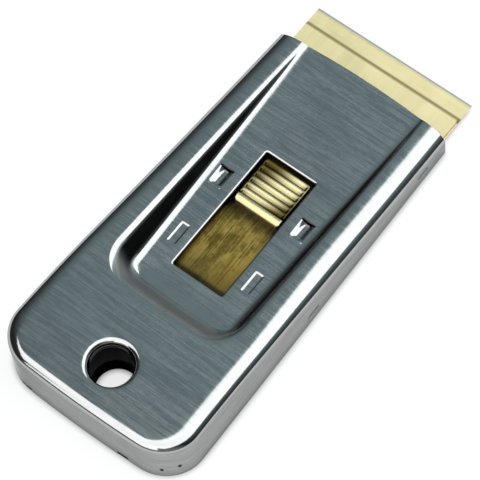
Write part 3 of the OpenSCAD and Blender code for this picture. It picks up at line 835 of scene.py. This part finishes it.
def pad_height(x, d):
    """Height over the slide at x across and d behind the front edge of the pad.

    A rounded rectangle with a quarter-round edge and a slight crown. Grooves between the ribs fade
    out at the rails, and behind the last groove a bar rises and falls away to the rear."""
    dx = np.abs(x) - (PAD_W / 2 - PAD_R)
    dy = np.abs(d - PAD_L / 2) - (PAD_L / 2 - PAD_R)
    out = np.hypot(np.maximum(dx, 0), np.maximum(dy, 0)) + np.minimum(np.maximum(dx, dy), 0)
    block = np.sqrt(1 - (1 - np.clip((PAD_R - out) / PAD_EDGE, 0, 1)) ** 2)
    ribbed = PAD_L - RAMP_L
    fade = 1 - ease((np.abs(x) - (PAD_W / 2 - RAIL_W - 0.5)) / 0.5)
    ribs = 1 - GROOVE * fade * (1 - rib_wave(d / ribbed * RIBS)) ** 1.3
    crown = 1 - CROWN * (2 * x / PAD_W) ** 2
    t = (d - ribbed) / RAMP_L
    bar = blend(1 - GROOVE, 1 - 0.25 * ease((t - 0.3) / 0.7), ease(t / 0.25))
    return PAD_H * block * np.where(d < ribbed, ribs * crown, bar)


x, d = np.meshgrid(np.linspace(-PAD_W / 2, PAD_W / 2, PAD_ROWS), np.linspace(0, PAD_L, PAD_COLUMNS),
                   indexing="ij")
top = np.stack([x, high[1] - d, low[2] + np.maximum(pad_height(x, d), 0)], axis=-1)
under = np.stack([x, high[1] - d, np.full_like(x, low[2])], axis=-1)
pad = sheet_mesh("ribbed_pad", [(top, grid_faces(*x.shape)), (under, grid_faces(*x.shape, flip=True))])
settle(pad, sharp=50)
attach(pad, "carriage")
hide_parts("thumb_pad")
print("pad", np.round(high - low, 2), "mm,", len(pad.data.polygons), "faces")

# %% Finish of the pad
def pad_brass(low, high):
    """Pale polished brass, two corners darker by tarnish and painted reflection, painted shade in
    grooves.
    """
    material, wire = blank_material("pad_brass")
    middle, half = (low + high) / 2, (high - low) / 2
    u = (place(wire, "X") - middle[0]) * (1 / half[0])
    v = (place(wire, "Y") - middle[1]) * (1 / half[1])
    # Darker corners and sides, partly tarnish and partly a painted reflection of the dark room, leave a
    # pale diagonal band like a highlight.
    corner = abs(u - v).step(0.15, 1.3)
    side = abs(u).step(0.6, 0.95) * 0.6
    tarnish_and_reflection = (1 - (1 - corner) * (1 - side)) * v.step(-0.68, -0.6)
    # Painted shade in the grooves, deepest in the dark corners.
    groove = 1 - place(wire, "Z").step(high[2] - 0.45, high[2] - 0.2)
    tone = mix_colour(tarnish_and_reflection, (0.6, 0.54, 0.30), (0.085, 0.066, 0.017))
    colour = mix_colour(groove * between(tarnish_and_reflection, 0.4, 0.9), tone, (0.03, 0.022, 0.006))
    marks = brush_marks(wire, ALONG)
    metal(wire, colour, between(marks.step(0.3, 0.7), 0.26, 0.32), marks, 0.03)
    return material


def dress(piece, material):
    piece.data.materials.clear()
    piece.data.materials.append(material)
    print(piece.name, "wears", material.name)


dress(pad, pad_brass(low, high))

# %% [markdown]
# ## Slide, blade and base
# The slide is brass. Its lip outside the mouth is rubbed pale, while the strip under the window is a
# mottled olive, warmer at one rear corner. The strip is darker partly in its own tone and partly by
# painted shade from the cover over it, deepest at its rear, with painted shade round the pad, behind
# the window's rear edge and along the lip's front edge. The blade is plated the same colour as the
# lip, with a grey ground edge and a painted shadow along the lip's edge. The base and the hidden
# spine are steel. These pieces keep their CAD meshes, because flat metal needs no finer one.

# %% Slide and blade
LIP_EDGE = MOUTH_Y + 6.5
PALE_BRASS = (0.80, 0.70, 0.39), (0.90, 0.81, 0.49)


def slide_brass():
    """Pale brass on the lip, olive brass on the strip, with painted shade at its rear, right edge and
    round the pad.
    """
    material, wire = blank_material("slide_brass")
    marks = brush_marks(wire, ALONG)
    tone = (marks * 0.5 + noise(wire, (160, 110, 160), 4.0) * 0.5).step(0.3, 0.7)
    mottle = (tone * 0.5 + noise(wire, (1100, 700, 1100), 3.0, 0.7) * 0.5).step(0.33, 0.67)
    depth = MOUTH_Y - place(wire, "Y")
    lip = 1 - depth.step(3, 7)
    # The strip's olive is partly its own tone and partly painted shade from the cover over it.
    strip = mix_colour(mottle, (0.15, 0.104, 0.022), (0.45, 0.325, 0.082))
    warm = place(wire, "X").step(-1, 5) * depth.near(48.5, 2.0, 2.5) * (1 - mottle * 0.5)
    strip = mix_colour(warm * 0.7, strip, (0.33, 0.16, 0.03))
    # Painted shade at the strip's rear and along its right edge, under the cover.
    shade = 1 - (1 - depth.step(43, 53) * 0.7) * (1 - place(wire, "X").step(3.5, 6.0) * 0.5)
    strip = mix_colour(shade, strip, (0.09, 0.07, 0.02))
    # Painted shade: near black round the pad and behind the window's rear edge.
    pad_shade = depth.near(29, 6.2, 3.2) * between(abs(place(wire, "X")).step(4.6, 5.4), 0.8, 1.0)
    strip = mix_colour(1 - (1 - pad_shade) * (1 - depth.step(50.9, 51.9) * 0.8), strip, PAINTED_DARK)
    # Painted shade along the lip's front edge.
    edge = depth.near(MOUTH_Y - LIP_EDGE, 0.1, 0.55) * 0.7
    pale = mix_colour(edge, mix_colour(tone, *PALE_BRASS), (0.17, 0.12, 0.03))
    colour = mix_colour(lip, strip, pale)
    metal(wire, colour, between(lip, between(tone, 0.3, 0.4), between(tone, 0.45, 0.6)), marks, 0.08)
    return material


def blade_finish():
    """Plated blade: pale like the lip, with a painted shadow along the lip's edge, grey where it is
    ground.
    """
    material, wire = blank_material("plated_blade")
    marks = brush_marks(wire, ACROSS)
    tone = (marks * 0.5 + noise(wire, (160, 110, 160), 4.0) * 0.5).step(0.3, 0.7)
    y = place(wire, "Y")
    ground = y.step(cad_box[1].y / MM - 0.45, cad_box[1].y / MM - 0.3)
    colour = mix_colour(ground, mix_colour(tone, *PALE_BRASS), (0.45, 0.46, 0.47))
    # Painted shadow of the lip's edge lying across the blade.
    colour = mix_colour(y.near(LIP_EDGE, 0.3, 0.6) * 0.85, colour, (0.12, 0.085, 0.025))
    metal(wire, colour, between(tone, 0.45, 0.6), marks, 0.08)
    return material


dress(nodes["slide_plate"], slide_brass())
dress(nodes["razor_blade"], blade_finish())

# %% Base, clip, rivets and spine
def base_steel():
    """Plain steel, with painted shade on its upright faces and inside the collar round the hole."""
    material, wire = blank_material("base_steel")
    marks = brush_marks(wire, ALONG)
    tone = marks.step(0.3, 0.7)
    upright = 1 - abs(facing_up(wire)).step(0.3, 0.7)
    # Painted shade: near black on the upright faces, the ends of the ears among them, and in the collar
    # round the hang hole.
    painted_dark_mask = 1 - (1 - hole_throat(wire)) * (1 - upright * 0.9)
    colour = mix_colour(painted_dark_mask, mix_colour(tone, (0.28, 0.29, 0.29), (0.36, 0.37, 0.37)), PAINTED_DARK)
    metal(wire, colour, between(tone, 0.3, 0.42), marks, 0.15, 0.2)
    return material


clip_brass = brushed_metal("clip_brass", (0.5, 0.38, 0.14), (0.7, 0.55, 0.22),
                           (0.3, 0.4), ACROSS, 0.15)
base_finish = base_steel()
dress(nodes["base_plate"], base_finish)
dress(nodes["blade_clip"], clip_brass)
dress(nodes["clip_rivets"], clip_brass)
dress(nodes["blade_spine"],
      brushed_metal("spine_steel", (0.32, 0.33, 0.34), (0.4, 0.41, 0.42), (0.25, 0.35), ACROSS, 0.1))

# %% [markdown]
# ## Ends of the ears
# At the rear the base hangs on two small ears, and their ends show in the notches of the cover,
# painted near black as the shade in the notches. The CAD ears stop a third of a millimetre short of
# the outside, so each gets an end cap. The faces that were left out of the wall have its outline:
# set in a little, they are the cap.

# %% Ear ends
EAR_SET, EAR_T, EAR_GAP = 0.1, 0.25, 0.05

ear_x, ear_y, _ = outline_at(np.full((1, 2), EAR_SET))
ear_z = np.broadcast_to([EAR_GAP, NOTCH_H - EAR_GAP], ear_x.shape)
ear_faces = grid_faces(rows, 2)[in_notch.reshape(rows - 1, columns - 1)[:, 0]]
used, ear_faces = np.unique(ear_faces, return_inverse=True)
ear_points = np.stack([ear_x, ear_y, ear_z], axis=-1).reshape(-1, 3)[used]
ears = sheet_mesh("ear_ends", [(ear_points, ear_faces.reshape(-1, 4))])
thicken(ears, EAR_T)
settle(ears, sharp=32)
# The base finish paints the caps near black, as the shade in the notches.
dress(ears, base_finish)
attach(ears, "housing")
print(len(ears.data.polygons), "faces in the ends of the ears")
